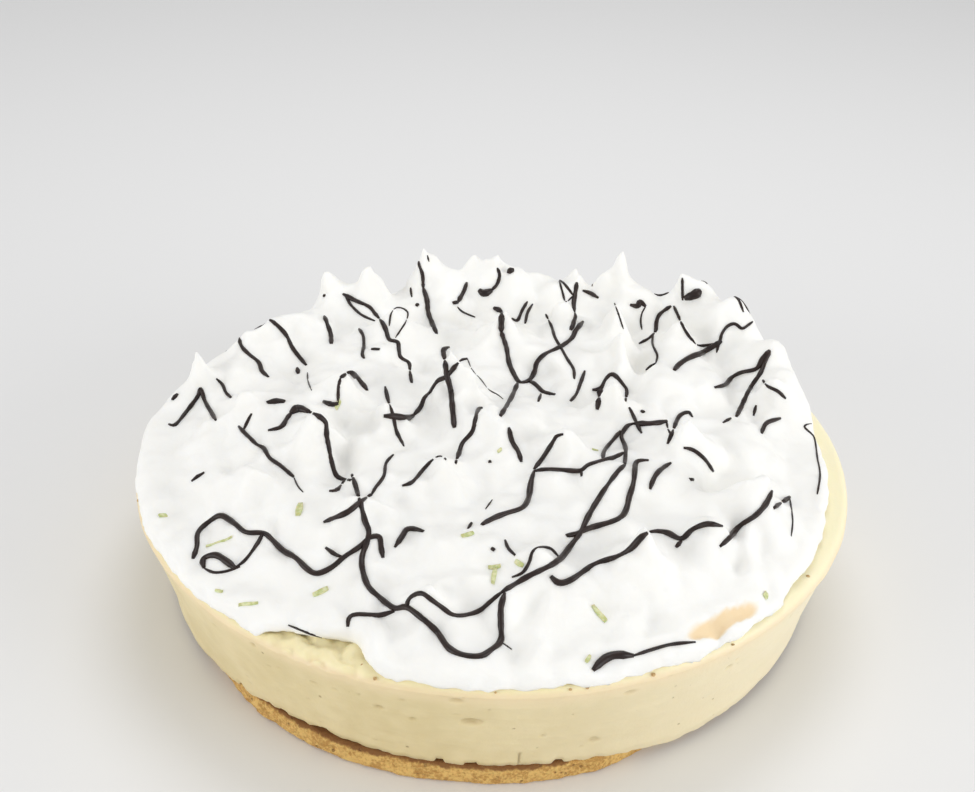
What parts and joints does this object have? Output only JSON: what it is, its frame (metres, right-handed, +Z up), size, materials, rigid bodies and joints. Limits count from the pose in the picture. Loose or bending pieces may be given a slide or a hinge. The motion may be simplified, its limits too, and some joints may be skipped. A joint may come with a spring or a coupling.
{
  "type": "lemon meringue pie",
  "caption": "Whole round lemon pie without a dish: crumbly biscuit base, deep tapered set filling with a rounded rim, and a pulled meringue top with tall irregular peaks.",
  "frame": {"origin": "middle of the pie's footprint, on its underside", "axes": "+Z up through the middle of the pie; +X to the right and -Y towards the viewer who faces the side with the bare stretch of rim on the left"},
  "size_m": [0.24, 0.24, 0.0807],
  "materials": {
    "biscuit": "dry, crumbly baked biscuit",
    "filling": "smooth set lemon cream with small air holes",
    "meringue": "soft white whipped meringue, satin",
    "chocolate": "thin set dark chocolate drizzle",
    "zest": "grated citrus zest"
  },
  "bodies": {
    "root": {"biscuit_base": "biscuit", "lemon_filling": "filling", "meringue": "meringue"}
  },
  "joints": []
}
